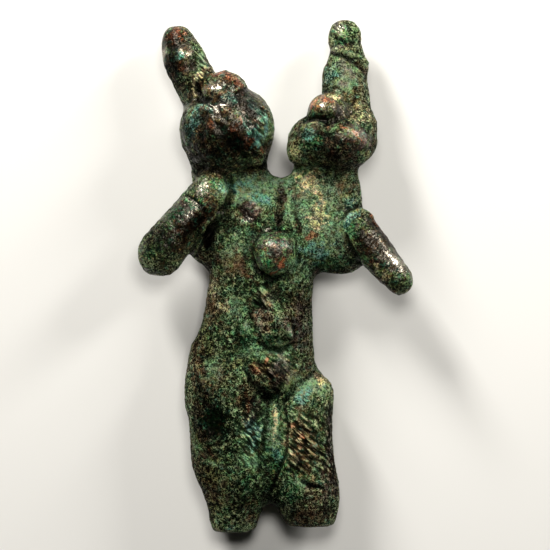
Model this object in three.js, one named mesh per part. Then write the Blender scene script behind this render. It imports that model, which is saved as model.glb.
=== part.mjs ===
// A small solid-cast bronze statuette of a two-headed standing figure, broken off at the thighs and
// eaten by corrosion. It lies on its back: +X is the viewer's right, +Y runs from the thighs to the
// heads, +Z points up out of the chest, and the lowest points of the back rest on z = 0.
//
// The casting is one body, so it is modelled as one field. Each form below gives the distance from a
// point to its own surface, the forms melt into each other over a named width, and the skin of the
// whole is drawn round the result. Places and radii are in modules of one hundredth of the height.

import * as THREE from "three";

// Driving dimension, in millimetres: from the broken thighs to the tip of the taller headdress.
const HEIGHT = 77;

// The skin is drawn from a net with this many cells along the height.
const CELLS_IN_HEIGHT = 62;

const MODULE = HEIGHT / 100;
const BRONZE = { color: 0x3c4a38, roughness: 0.55, metalness: 0.6 };

// How far two forms reach into each other where they meet, in modules.
const MELT = { crisp: 0.5, firm: 1.1, soft: 2.2 };

const clamp = THREE.MathUtils.clamp;

function meltedUnion(a, b, width) {
  const h = Math.max(width - Math.abs(a - b), 0) / width;
  return Math.min(a, b) - (h * h * width) / 4;
}

function meltedCut(a, b, width) {
  return -meltedUnion(-a, b, width);
}

// An ellipsoid about a centre, with its long axes turned in the plane of the back.
function boss(centre, radii, turnDeg = 0) {
  const c = Math.cos(THREE.MathUtils.degToRad(turnDeg));
  const s = Math.sin(THREE.MathUtils.degToRad(turnDeg));
  return (x, y, z) => {
    const dx = x - centre[0];
    const dy = y - centre[1];
    const u = (c * dx + s * dy) / radii[0];
    const v = (c * dy - s * dx) / radii[1];
    const w = (z - centre[2]) / radii[2];
    const reach = Math.hypot(u, v, w);
    const slope = Math.hypot(u / radii[0], v / radii[1], w / radii[2]);
    return slope > 0 ? (reach * (reach - 1)) / slope : -Math.min(...radii);
  };
}

// A round limb along a chain of [x, y, z, radius] points, tapering from each to the next.
function limb(...points) {
  return (x, y, z) => {
    let nearest = Infinity;
    for (let i = 0; i + 1 < points.length; i++) {
      const [ax, ay, az, ar] = points[i];
      const [bx, by, bz, br] = points[i + 1];
      const dx = bx - ax;
      const dy = by - ay;
      const dz = bz - az;
      const along = (x - ax) * dx + (y - ay) * dy + (z - az) * dz;
      const t = clamp(along / (dx * dx + dy * dy + dz * dz), 0, 1);
      const gap = Math.hypot(x - ax - t * dx, y - ay - t * dy, z - az - t * dz);
      nearest = Math.min(nearest, gap - ar - t * (br - ar));
    }
    return nearest;
  };
}

// A trunk through level sections {y, x, half, front, back}, listed from the top down: its middle, half
// width, and the heights of its front and back skins. The sections are rounded rectangles of the power
// SQUARENESS, and the two ends are rounded over the width endMelt.
const SQUARENESS = 2.3;

function trunk(sections, endMelt) {
  const top = sections[0].y;
  const bottom = sections[sections.length - 1].y;
  const at = (key, i) => sections[clamp(i, 0, sections.length - 1)][key];
  const blendedAt = (key, i, t) => {
    const [p, q, r, s] = [at(key, i - 1), at(key, i), at(key, i + 1), at(key, i + 2)];
    const bend = 2 * q + (r - p) * t + (2 * p - 5 * q + 4 * r - s) * t * t;
    return 0.5 * (bend + (3 * q - p - 3 * r + s) * t * t * t);
  };
  return (x, y, z) => {
    const level = clamp(y, bottom, top);
    let i = 0;
    while (i < sections.length - 2 && level < sections[i + 1].y) i++;
    const t = (sections[i].y - level) / (sections[i].y - sections[i + 1].y);
    const half = blendedAt("half", i, t);
    const front = blendedAt("front", i, t);
    const back = blendedAt("back", i, t);
    const u = Math.abs(x - blendedAt("x", i, t)) / half;
    const v = Math.abs(z - (front + back) / 2) / ((front - back) / 2);
    const reach = Math.pow(Math.pow(u, SQUARENESS) + Math.pow(v, SQUARENESS), 1 / SQUARENESS);
    const round = (reach - 1) * Math.min(half, (front - back) / 2);
    return meltedCut(round, -Math.max(y - top, bottom - y), endMelt);
  };
}

// The body, from the saddle between the necks down to the groin, and what is left of the thighs. Right
// and left are the figure's own.
const torso = trunk(
  [
    { y: 18.9, x: 2.0, half: 11.8, front: 11.2, back: 3.6 },
    { y: 14.5, x: 1.7, half: 13.2, front: 12.9, back: 2.3 },
    { y: 8.7, x: 0.0, half: 12.1, front: 14.0, back: 1.6 },
    { y: 2.8, x: -2.0, half: 10.5, front: 14.3, back: 1.5 },
    { y: -3.0, x: -2.9, half: 10.3, front: 13.8, back: 2.0 },
    { y: -8.9, x: -3.4, half: 10.8, front: 13.9, back: 1.9 },
    { y: -14.7, x: -4.4, half: 11.9, front: 14.6, back: 1.1 },
    { y: -20.6, x: -4.4, half: 12.6, front: 15.0, back: 0.3 },
    { y: -26.5, x: -4.3, half: 12.4, front: 14.0, back: 0.4 },
  ],
  2.0,
);

const rightThigh = trunk(
  [
    { y: -14.0, x: -9.6, half: 5.6, front: 12.6, back: 2.6 },
    { y: -20.0, x: -9.1, half: 7.6, front: 14.9, back: 0.5 },
    { y: -27.0, x: -8.9, half: 8.0, front: 15.8, back: 0.2 },
    { y: -32.5, x: -8.7, half: 7.9, front: 15.6, back: 0.4 },
    { y: -38.2, x: -8.5, half: 7.5, front: 15.2, back: 1.0 },
    { y: -43.1, x: -7.7, half: 6.3, front: 13.8, back: 2.0 },
    { y: -47.0, x: -7.9, half: 5.0, front: 12.2, back: 3.1 },
    { y: -50.5, x: -8.2, half: 4.4, front: 10.8, back: 4.0 },
  ],
  1.6,
);

const leftThigh = trunk(
  [
    { y: -19.8, x: 5.0, half: 4.6, front: 13.6, back: 1.6 },
    { y: -24.0, x: 5.4, half: 5.9, front: 15.9, back: 0.5 },
    { y: -30.4, x: 5.2, half: 6.0, front: 16.6, back: 0.4 },
    { y: -37.2, x: 5.5, half: 6.3, front: 16.3, back: 0.8 },
    { y: -43.0, x: 6.1, half: 6.6, front: 15.3, back: 1.7 },
    { y: -46.4, x: 6.6, half: 5.6, front: 13.9, back: 2.6 },
    { y: -49.2, x: 6.9, half: 4.7, front: 12.6, back: 3.4 },
  ],
  1.4,
);

const rightNeck = trunk(
  [
    { y: 25.0, x: -8.9, half: 7.2, front: 12.4, back: 2.4 },
    { y: 19.5, x: -8.9, half: 7.5, front: 11.8, back: 3.2 },
    { y: 12.0, x: -8.2, half: 6.6, front: 11.6, back: 3.2 },
  ],
  2.0,
);

const leftNeck = trunk(
  [
    { y: 25.0, x: 10.0, half: 6.4, front: 12.4, back: 2.6 },
    { y: 18.5, x: 9.9, half: 6.3, front: 12.0, back: 3.2 },
    { y: 11.0, x: 10.4, half: 6.8, front: 12.2, back: 3.0 },
  ],
  2.0,
);

// What stands on the body or is sunk into it.
const FORMS = [
  // Thighs, joined by a web of metal, the hollow of the right hip and the broken knob of the left.
  { add: rightThigh, melt: MELT.soft },
  { add: leftThigh, melt: MELT.soft },
  { add: limb([-0.8, -22.0, 8.8, 4.8], [-0.8, -39.6, 8.2, 4.4]), melt: MELT.soft },
  { add: boss([8.9, -23.0, 10.6], [2.6, 3.0, 4.0]), melt: MELT.firm },
  { cut: boss([-12.0, -29.0, 18.2], [3.4, 5.4, 3.6], 14), melt: MELT.soft },
  // Buttocks.
  { add: boss([-9.4, -21.5, 5.4], [6.4, 6.8, 5.6]), melt: MELT.soft },
  { add: boss([2.8, -22.6, 5.2], [6.0, 6.4, 5.3]), melt: MELT.soft },
  // Belly, mound and groin.
  { add: boss([-0.6, -9.8, 10.4], [7.4, 5.6, 6.0], 8), melt: MELT.firm },
  { add: boss([0.2, -19.2, 11.4], [5.2, 4.8, 5.0], -10), melt: MELT.firm },
  { cut: boss([-0.6, -25.4, 18.2], [2.6, 2.8, 3.6]), melt: MELT.soft },
  // Necks.
  { add: rightNeck, melt: MELT.soft },
  { add: leftNeck, melt: MELT.soft },
  // The single breast.
  { add: boss([0.4, 4.1, 13.7], [4.5, 4.6, 4.7], 12), melt: MELT.crisp },
  // Right arm: a web of metal from the side of the chest, and the stump over it.
  { add: boss([-13.4, 8.6, 7.6], [5.6, 7.2, 4.6], 30), melt: MELT.soft },
  { add: limb([-12.8, 16.0, 12.9, 3.8], [-22.4, 4.2, 11.6, 4.6]), melt: MELT.crisp },
  // Left arm.
  { add: boss([12.6, 6.3, 8.2], [6.9, 6.2, 5.6]), melt: MELT.soft },
  { add: limb([15.8, 8.9, 12.3, 4.0], [20.0, 3.9, 12.7, 3.6], [24.3, -1.2, 13.2, 2.8]), melt: MELT.crisp },
  // Right head and its headdress.
  { add: limb([-19.0, 45.7, 6.4, 3.4], [-18.0, 42.7, 6.8, 4.2], [-14.6, 36.0, 8.0, 4.3]), melt: MELT.firm },
  { add: boss([-9.4, 28.2, 9.1], [9.2, 9.1, 9.7], 10), melt: MELT.firm },
  { add: boss([-9.9, 34.9, 12.8], [4.9, 4.9, 4.9]), melt: MELT.crisp },
  { add: boss([-5.0, 30.0, 11.4], [4.6, 6.0, 5.2], 25), melt: MELT.firm },
  { add: boss([-14.8, 29.4, 12.2], [3.3, 4.4, 3.6], 10), melt: MELT.firm },
  { add: limb([-8.4, 31.2, 16.2, 2.3], [-3.6, 22.9, 13.0, 1.9]), melt: MELT.firm },
  // Left head and its headdress.
  { add: limb([13.9, 33.6, 8.8, 4.8], [13.6, 38.8, 8.0, 4.4], [14.1, 42.3, 7.6, 3.7]), melt: MELT.firm },
  { add: limb([13.6, 46.0, 7.2, 3.3], [13.6, 46.9, 7.0, 3.3]), melt: MELT.crisp },
  { add: boss([16.4, 40.8, 8.2], [2.1, 2.0, 2.2]), melt: MELT.crisp },
  { add: boss([11.3, 26.2, 9.0], [8.9, 6.0, 9.7]), melt: MELT.firm },
  { add: boss([10.3, 31.4, 12.8], [4.0, 4.1, 4.3]), melt: MELT.crisp },
  { add: boss([5.5, 24.5, 11.8], [3.5, 3.6, 4.0]), melt: MELT.crisp },
  { add: boss([16.8, 29.4, 10.2], [3.2, 3.4, 3.8]), melt: MELT.firm },
  { add: limb([8.4, 27.0, 16.0, 2.0], [16.6, 23.7, 13.6, 2.0]), melt: MELT.firm },
  // The back, which is plain: a furrow along the spine and a cleft below it.
  { cut: limb([0.4, 15.0, 0.4, 1.8], [-3.4, -11.0, 0.2, 1.9]), melt: MELT.soft },
  { cut: limb([-3.4, -18.0, -1.2, 2.6], [-1.6, -40.0, -1.0, 3.4]), melt: MELT.firm },
];

// Distance from a point to the surface of the figure, below zero inside it, all in modules.
function figure(x, y, z) {
  let distance = torso(x, y, z);
  for (const { add, cut, melt } of FORMS) {
    distance = add
      ? meltedUnion(distance, add(x, y, z), melt)
      : meltedCut(distance, cut(x, y, z), melt);
  }
  return distance;
}

// Moves a point onto the surface of a field along its slope.
const SETTLING_STEPS = 2;
const SLOPE_STEP = 0.02;

function settle(field, p) {
  for (let i = 0; i < SETTLING_STEPS; i++) {
    const d = field(p.x, p.y, p.z);
    const slope = new THREE.Vector3(
      field(p.x + SLOPE_STEP, p.y, p.z) - field(p.x - SLOPE_STEP, p.y, p.z),
      field(p.x, p.y + SLOPE_STEP, p.z) - field(p.x, p.y - SLOPE_STEP, p.z),
      field(p.x, p.y, p.z + SLOPE_STEP) - field(p.x, p.y, p.z - SLOPE_STEP),
    ).divideScalar(2 * SLOPE_STEP);
    const steepness = Math.max(slope.lengthSq(), 0.05);
    p.addScaledVector(slope, -d / steepness);
  }
}

// Spreads the vertices of a skin evenly, each a part of the way to the middle of its neighbours, and
// settles them on the surface again.
const EVENING_ROUNDS = 4;
const EVENING_SHARE = 0.5;

function evenOut(field, points, triangles) {
  for (let round = 0; round < EVENING_ROUNDS; round++) {
    const sums = points.map(() => new THREE.Vector3());
    const counts = new Uint16Array(points.length);
    triangles.forEach((from, n) => {
      const to = triangles[n % 3 === 2 ? n - 2 : n + 1];
      sums[from].add(points[to]);
      sums[to].add(points[from]);
      counts[from]++;
      counts[to]++;
    });
    points.forEach((p, n) => p.lerp(sums[n].divideScalar(counts[n]), EVENING_SHARE));
    points.forEach((p) => settle(field, p));
  }
}

// Where the inside touches itself only across the corner of a net square, the skin would pinch to a
// single edge. The outer corner nearest to the surface is taken inside there.
const JUST_INSIDE = -1e-4;

function closePinches(value, step) {
  const squares = [[step[0], step[1]], [step[1], step[2]], [step[0], step[2]]];
  let closed = true;
  while (closed) {
    closed = false;
    for (const [u, v] of squares)
      for (let n = 0; n + u + v < value.length; n++) {
        const ring = [n, n + u, n + u + v, n + v];
        const [a, b, c, d] = ring.map((m) => value[m] < 0);
        if (a !== c || b !== d || a === b) continue;
        const outer = a ? [ring[1], ring[3]] : [ring[0], ring[2]];
        value[value[outer[0]] < value[outer[1]] ? outer[0] : outer[1]] = JUST_INSIDE;
        closed = true;
      }
  }
}

// A closed skin round the inside of a field: one vertex in each cell of a net that the surface passes
// through, and a quad across each edge of the net that it cuts.
function skin(field, box, pitch) {
  const size = box.getSize(new THREE.Vector3());
  const [nx, ny, nz] = size.toArray().map((length) => Math.ceil(length / pitch) + 1);
  const corner = (i, j, k) => (k * ny + j) * nx + i;
  const value = new Float32Array(nx * ny * nz);
  for (let k = 0; k < nz; k++)
    for (let j = 0; j < ny; j++)
      for (let i = 0; i < nx; i++)
        value[corner(i, j, k)] = field(
          box.min.x + i * pitch,
          box.min.y + j * pitch,
          box.min.z + k * pitch,
        );

  closePinches(value, [1, nx, nx * ny]);

  const CORNERS = [0, 1, 2, 3, 4, 5, 6, 7].map((n) => [n & 1, (n >> 1) & 1, (n >> 2) & 1]);
  const EDGES = [];
  for (let a = 0; a < 8; a++)
    for (const bit of [1, 2, 4]) if (!(a & bit)) EDGES.push([a, a | bit]);

  const points = [];
  const vertexOf = new Int32Array(nx * ny * nz).fill(-1);
  for (let k = 0; k + 1 < nz; k++)
    for (let j = 0; j + 1 < ny; j++)
      for (let i = 0; i + 1 < nx; i++) {
        const v = CORNERS.map(([a, b, c]) => value[corner(i + a, j + b, k + c)]);
        const inside = v.filter((d) => d < 0).length;
        if (inside === 0 || inside === 8) continue;
        const middle = new THREE.Vector3();
        let cuts = 0;
        for (const [a, b] of EDGES) {
          if ((v[a] < 0) === (v[b] < 0)) continue;
          const t = v[a] / (v[a] - v[b]);
          middle.x += CORNERS[a][0] + t * (CORNERS[b][0] - CORNERS[a][0]);
          middle.y += CORNERS[a][1] + t * (CORNERS[b][1] - CORNERS[a][1]);
          middle.z += CORNERS[a][2] + t * (CORNERS[b][2] - CORNERS[a][2]);
          cuts++;
        }
        middle.divideScalar(cuts).add(new THREE.Vector3(i, j, k));
        middle.multiplyScalar(pitch).add(box.min);
        settle(field, middle);
        vertexOf[corner(i, j, k)] = points.length;
        points.push(middle);
      }

  const triangles = [];
  const addQuad = (a, b, c, d) => {
    if (points[a].distanceToSquared(points[c]) < points[b].distanceToSquared(points[d]))
      triangles.push(a, b, c, a, c, d);
    else triangles.push(b, c, d, b, d, a);
  };
  const step = [1, nx, nx * ny];
  for (let k = 1; k + 1 < nz; k++)
    for (let j = 1; j + 1 < ny; j++)
      for (let i = 1; i + 1 < nx; i++) {
        const here = corner(i, j, k);
        for (let axis = 0; axis < 3; axis++) {
          const inHere = value[here] < 0;
          if (inHere === (value[here + step[axis]] < 0)) continue;
          const u = step[(axis + 1) % 3];
          const v = step[(axis + 2) % 3];
          const ring = [here - u - v, here - v, here, here - u].map((n) => vertexOf[n]);
          if (!inHere) ring.reverse();
          addQuad(...ring);
        }
      }
  evenOut(field, points, triangles);
  return { points, triangles };
}

// What the figure takes up, in modules. The net reaches two cells past it on every side.
const REACH = { low: [-27.2, -50.6, -1.0], high: [27.2, 50.4, 19.5] };

function castFigure() {
  const pitch = 100 / CELLS_IN_HEIGHT;
  const box = new THREE.Box3(new THREE.Vector3(...REACH.low), new THREE.Vector3(...REACH.high));
  const { points, triangles } = skin(figure, box.expandByScalar(2 * pitch), pitch);
  // The lowest points of the back are worn flat where they rest.
  for (const p of points) p.z = Math.max(p.z, 0);
  const geometry = new THREE.BufferGeometry().setFromPoints(points).setIndex(triangles);
  geometry.scale(MODULE, MODULE, MODULE);
  geometry.computeVertexNormals();
  const mesh = new THREE.Mesh(geometry, new THREE.MeshStandardMaterial(BRONZE));
  mesh.name = "statuette";
  return mesh;
}

const statuette = new THREE.Group();
statuette.add(castFigure());

export default statuette;
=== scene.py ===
"""A corroded two-headed bronze statuette, lying on its back on a pale floor.

The casting's solid gives the form. This script refines its skin, cuts the finer relief and the
corrosion into it, and gives it the patina that the photograph shows.
"""

import math

import bpy
import numpy as np
from mathutils import Matrix, Vector


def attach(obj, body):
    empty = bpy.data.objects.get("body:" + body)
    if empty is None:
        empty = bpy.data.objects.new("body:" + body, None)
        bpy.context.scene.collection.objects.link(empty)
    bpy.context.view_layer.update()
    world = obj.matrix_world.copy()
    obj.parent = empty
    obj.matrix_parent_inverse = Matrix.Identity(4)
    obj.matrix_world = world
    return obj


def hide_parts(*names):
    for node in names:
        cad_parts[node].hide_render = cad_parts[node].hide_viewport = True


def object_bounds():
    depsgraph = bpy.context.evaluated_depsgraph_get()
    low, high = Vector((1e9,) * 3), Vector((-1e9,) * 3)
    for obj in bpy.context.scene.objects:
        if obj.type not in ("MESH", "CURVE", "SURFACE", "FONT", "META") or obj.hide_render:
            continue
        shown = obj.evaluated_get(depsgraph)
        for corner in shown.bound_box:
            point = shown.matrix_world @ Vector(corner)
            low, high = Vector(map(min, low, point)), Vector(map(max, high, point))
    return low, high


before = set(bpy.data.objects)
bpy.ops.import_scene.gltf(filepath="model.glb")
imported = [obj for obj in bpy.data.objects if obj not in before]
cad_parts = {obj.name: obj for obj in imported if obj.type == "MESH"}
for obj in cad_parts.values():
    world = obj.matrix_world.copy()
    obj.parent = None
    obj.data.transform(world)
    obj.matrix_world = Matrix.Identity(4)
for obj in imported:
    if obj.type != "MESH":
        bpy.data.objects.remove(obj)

CAD_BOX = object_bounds()

MM = 0.001

# Vertices of the solid that lie closer than this are one.
WELD = 0.001 * MM

# The figure's height, from which the solid's modules come, and the photograph's scale and middle.
HEIGHT = 77 * MM
MODULE = HEIGHT / 100
PIXEL = MODULE / 5.12
PHOTO_SIDE = 550
PHOTO_MIDDLE = (275.0, 274.5)


def from_photo(px, py):
    """The place in plan, in metres, that shows at a pixel of the photograph."""
    return (px - PHOTO_MIDDLE[0]) * PIXEL, (PHOTO_MIDDLE[1] - py) * PIXEL


# Mesh refinement


def welded_arrays(obj):
    """The vertices and triangles of an object, with coincident vertices made one."""
    mesh = obj.data
    mesh.calc_loop_triangles()
    points = np.empty(len(mesh.vertices) * 3)
    mesh.vertices.foreach_get("co", points)
    triangles = np.empty(len(mesh.loop_triangles) * 3, dtype=np.int32)
    mesh.loop_triangles.foreach_get("vertices", triangles)
    keys = np.round(points.reshape(-1, 3) / WELD).astype(np.int64)
    _, first, where = np.unique(keys, axis=0, return_index=True, return_inverse=True)
    return points.reshape(-1, 3)[first], where.reshape(-1)[triangles].reshape(-1, 3)


def edges_of(triangles):
    """Each edge once, the edge opposite each corner, and each edge's two opposite corners."""
    sides = np.concatenate([triangles[:, [1, 2]], triangles[:, [2, 0]], triangles[:, [0, 1]]])
    edges, where = np.unique(np.sort(sides, axis=1), axis=0, return_inverse=True)
    where = where.reshape(-1)
    apexes = np.concatenate([triangles[:, 0], triangles[:, 1], triangles[:, 2]])
    order = np.argsort(where, kind="stable")
    return edges, where.reshape(3, -1).T, apexes[order].reshape(-1, 2)


def sum_to(count, index, values):
    """Adds up values by index, column by column."""
    return np.stack([np.bincount(index, values[:, k], count) for k in range(values.shape[1])], axis=1)


def loop_subdivided(points, triangles):
    """One round of Loop subdivision: each triangle becomes four, and the skin smoother."""
    edges, opposite, apexes = edges_of(triangles)
    count = len(points)
    new = 0.375 * (points[edges[:, 0]] + points[edges[:, 1]])
    new += 0.125 * (points[apexes[:, 0]] + points[apexes[:, 1]])
    ends = np.concatenate([edges[:, 0], edges[:, 1]])
    others = np.concatenate([edges[:, 1], edges[:, 0]])
    valence = np.bincount(ends, minlength=count)[:, None]
    ring = sum_to(count, ends, points[others]) / valence
    share = 0.625 - (0.375 + 0.25 * np.cos(2 * math.pi / valence)) ** 2
    old = points * (1 - share) + ring * share
    a, b, c = triangles.T
    mid_a, mid_b, mid_c = (opposite + count).T
    corners = [(a, mid_c, mid_b), (b, mid_a, mid_c), (c, mid_b, mid_a), (mid_a, mid_b, mid_c)]
    return np.concatenate([old, new]), np.concatenate([np.stack(t, axis=1) for t in corners])


def vertex_normals(points, triangles):
    a, b, c = (points[triangles[:, k]] for k in range(3))
    face = np.cross(b - a, c - a)
    total = sum_to(len(points), triangles.reshape(-1), np.repeat(face, 3, axis=0))
    return total / np.maximum(np.linalg.norm(total, axis=1, keepdims=True), 1e-20)


def neighbour_mean(values, edges):
    """The mean of each vertex's neighbours, for one value or one row a vertex."""
    table = values.reshape(len(values), -1)
    ends = np.concatenate([edges[:, 0], edges[:, 1]])
    others = np.concatenate([edges[:, 1], edges[:, 0]])
    valence = np.bincount(ends, minlength=len(table))[:, None]
    return (sum_to(len(table), ends, table[others]) / valence).reshape(values.shape)


# Noise, the same on every run

# Brings gradient noise to about -1 to 1.
NOISE_GAIN = 1.6
# Large whole numbers that scatter cells and seeds.
CELL_FACTORS = (73856093, 19349663, 83492791)
SEED_FACTOR = 2654435761
SCRAMBLERS = (2246822519, 3266489917)


def hashed(cells, seed):
    """Three even random numbers from 0 to 1 for each row of whole numbers."""
    x, y, z = (cells[..., k].astype(np.uint64) * np.uint64(CELL_FACTORS[k]) for k in range(3))
    h = x ^ y ^ z ^ np.uint64(seed * SEED_FACTOR % 2**32)
    first, second = (np.uint64(factor) for factor in SCRAMBLERS)
    out = []
    for _ in range(3):
        h = (h ^ (h >> np.uint64(15))) * first & np.uint64(0xFFFFFFFF)
        h = (h ^ (h >> np.uint64(13))) * second & np.uint64(0xFFFFFFFF)
        out.append((h ^ (h >> np.uint64(16))).astype(float) / 2**32 % 1.0)
    return np.stack(out, axis=-1)


def smooth_noise(points, size, seed):
    """Gradient noise from about -1 to 1, with lumps of a size in metres."""
    p = points / size
    base = np.floor(p).astype(np.int64)
    f = p - base
    w = f * f * f * (f * (f * 6 - 15) + 10)
    total = np.zeros(len(p))
    for corner in np.ndindex(2, 2, 2):
        step = np.array(corner)
        slope = hashed(base + step, seed) * 2 - 1
        weight = np.prod(np.where(step == 1, w, 1 - w), axis=1)
        total += weight * np.sum(slope * (f - step), axis=1)
    return total * NOISE_GAIN


def layered_noise(points, size, seed, layers=3):
    """Gradient noise with finer layers, each half the size and half the strength."""
    parts = [smooth_noise(points, size / 2**k, seed + k) / 2**k for k in range(layers)]
    return sum(parts) / sum(1 / 2**k for k in range(layers))


def pit_noise(points, size, seed):
    """Distance to the nearest of scattered points, as a share of the size."""
    p = points / size
    base = np.floor(p).astype(np.int64)
    nearest = np.full(len(p), np.inf)
    for offset in np.ndindex(3, 3, 3):
        cell = base + np.array(offset) - 1
        gap = np.linalg.norm(cell + hashed(cell, seed) - p, axis=1)
        nearest = np.minimum(nearest, gap)
    return nearest


def smooth_step(low, high, values):
    t = np.clip((values - low) / (high - low), 0, 1)
    return t * t * (3 - 2 * t)


# Strokes and patches, placed by the photograph's pixels

# The least square of a stroke's width at its ends, and where a patch starts and ends its fall, as shares.
THINNEST = 0.05
PATCH_FALL = (0.15, 1.40)


def stroke_share(plan, route, width):
    """1 on a route of pixels, falling to 0 at a width in pixels from it, tapering to its two ends."""
    line = np.array([from_photo(*p) for p in route])
    reach = width * PIXEL
    nearest = np.full(len(plan), np.inf)
    along = np.zeros(len(plan))
    lengths = np.linalg.norm(np.diff(line, axis=0), axis=1)
    done = 0.0
    for a, b, length in zip(line[:-1], line[1:], lengths):
        t = np.clip(((plan - a) @ (b - a)) / length**2, 0, 1)
        gap = np.linalg.norm(plan - a - t[:, None] * (b - a), axis=1)
        closer = gap < nearest
        nearest = np.where(closer, gap, nearest)
        along = np.where(closer, (done + t * length) / lengths.sum(), along)
        done += length
    taper = np.sqrt(np.clip(4 * along * (1 - along), THINNEST, 1))
    return np.clip(1 - (nearest / (reach * taper)) ** 2, 0, 1) ** 2


def patch_share(plan, patch):
    """1 inside an ellipse of pixels (x, y, half width, half height, turn in degrees), 0 well outside."""
    x, y, half_x, half_y, turn = patch
    d = (plan - np.array(from_photo(x, y))) / PIXEL
    c = math.cos(math.radians(turn))
    s = math.sin(math.radians(turn))
    u = (c * d[:, 0] + s * d[:, 1]) / half_x
    v = (c * d[:, 1] - s * d[:, 0]) / half_y
    return 1 - smooth_step(*PATCH_FALL, np.hypot(u, v))


# Relief that the solid is too coarse for, as strokes: (route in pixels, half width in pixels, height in
# mm, below zero for a groove).
STROKES = {
    "under the breast": ([(252, 254), (257, 270), (271, 280), (288, 276), (299, 258), (296, 240)], 5, -0.60),
    "over the breast": ([(254, 243), (262, 232), (276, 228), (290, 233)], 4, -0.15),
    "under the belly": ([(256, 340), (267, 348), (280, 350), (296, 342)], 4, -0.50),
    "left crease of the groin": ([(243, 366), (252, 380), (264, 392), (274, 398)], 4, -0.30),
    "left edge of the mound": ([(250, 356), (259, 373), (273, 391)], 7, 0.30),
    "right edge of the mound": ([(301, 360), (292, 374), (281, 391)], 6, 0.25),
    "wrinkle over the mound": ([(250, 360), (262, 364), (274, 360)], 3, -0.20),
    "second wrinkle over the mound": ([(254, 370), (266, 376), (276, 372)], 3, -0.20),
    "fold over the belly's crease": ([(270, 343), (282, 343), (290, 336)], 5, 0.20),
    "ridge of the belly": ([(262, 286), (270, 302), (282, 318), (291, 336)], 11, 0.50),
    "fold beside the belly": ([(250, 312), (254, 328), (262, 340)], 7, -0.35),
    "crack over the belly": ([(253, 300), (262, 305), (274, 311)], 3, -0.35),
    "middle of the chest": ([(279, 182), (282, 194), (278, 208), (280, 230)], 9, -0.30),
    "left of the chest": ([(293, 196), (297, 216), (300, 236)], 6, -0.25),
    "collar ridge": ([(232, 187), (248, 197), (262, 212), (271, 228)], 5, 0.20),
    "hollow under the collar": ([(238, 204), (248, 216), (262, 222)], 6, -0.30),
    "end of the right arm": ([(231, 176), (233, 192), (227, 206), (217, 214)], 5, -0.55),
    "under the right arm": ([(217, 222), (210, 234), (206, 250)], 7, -0.60),
    "lit edge of the right arm's web": ([(216, 214), (205, 224), (199, 240), (193, 256)], 4, 0.35),
    "crack across the right arm": ([(185, 194), (195, 201), (202, 207), (207, 213)], 2.5, -0.35),
    "rim of the left arm": ([(342, 226), (350, 216), (361, 210), (374, 218)], 4, 0.35),
    "behind the rim of the left arm": ([(340, 220), (348, 209), (360, 204)], 4, -0.30),
    "beside the left arm": ([(345, 233), (350, 248), (360, 264)], 5, -0.40),
    "ledge round the left headdress": ([(330, 52), (344, 56), (356, 63), (364, 71)], 4, -0.50),
    "lip over that ledge": ([(332, 47), (346, 51), (358, 57)], 4, 0.20),
    "lump beside that ledge": ([(358, 54), (366, 62), (362, 70)], 4, 0.25),
    "muzzle of the left head": ([(300, 130), (311, 126), (324, 126)], 7, 0.22),
    "over the muzzle": ([(304, 121), (317, 119), (328, 121)], 5, -0.35),
    "under the muzzle": ([(304, 137), (318, 134), (330, 137), (344, 148)], 6, -0.28),
    "cheek of the left head": ([(334, 126), (352, 134), (370, 146)], 10, 0.28),
    "jaw of the left head": ([(292, 163), (310, 168), (332, 169), (354, 164)], 6, -0.15),
    "right edge of the left brow": ([(337, 100), (341, 112), (334, 124)], 6, -0.25),
    "right side of the left headdress": ([(352, 78), (356, 94), (352, 106)], 4, -0.20),
    "foot of the right headdress": ([(199, 78), (197, 90), (204, 99)], 4, -0.35),
    "under the right brow": ([(194, 98), (204, 102), (213, 100)], 5, -0.30),
    "bridge of the right brow": ([(218, 92), (228, 98), (238, 104)], 9, 0.25),
    "notch right of that brow": ([(236, 96), (243, 92), (250, 88)], 6, -0.25),
    "ear of the right head": ([(188, 146), (186, 128), (192, 113), (203, 107), (214, 111)], 8, 0.28),
    "hollow of that ear": ([(207, 114), (202, 124), (203, 140)], 8, -0.30),
    "facet of the right head": ([(222, 108), (234, 118), (247, 134), (262, 154)], 11, 0.30),
    "under that facet": ([(216, 124), (230, 142), (246, 158)], 12, -0.28),
    "chin of the right head": ([(200, 166), (222, 173), (246, 172), (264, 165)], 6, -0.15),
    "left side of the groin": ([(314, 371), (298, 384), (283, 402)], 6, -0.40),
    "right side of the groin": ([(247, 376), (258, 390), (268, 402)], 5, -0.25),
    "left of the channel": ([(283, 400), (288, 424), (285, 450), (278, 470), (270, 494)], 4, -0.30),
    "right of the channel": ([(268, 404), (266, 428), (262, 452)], 4, -0.25),
    "floor of the channel": ([(275, 402), (277, 424), (273, 448)], 5, 0.15),
    "crest of the right hip": ([(196, 360), (201, 374), (206, 386)], 4, 0.25),
    "long gouge on the left thigh": ([(292, 422), (304, 428), (316, 434)], 3, -0.45),
    "lower gouge on the left thigh": ([(300, 478), (310, 484), (322, 486)], 4, -0.45),
}

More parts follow.
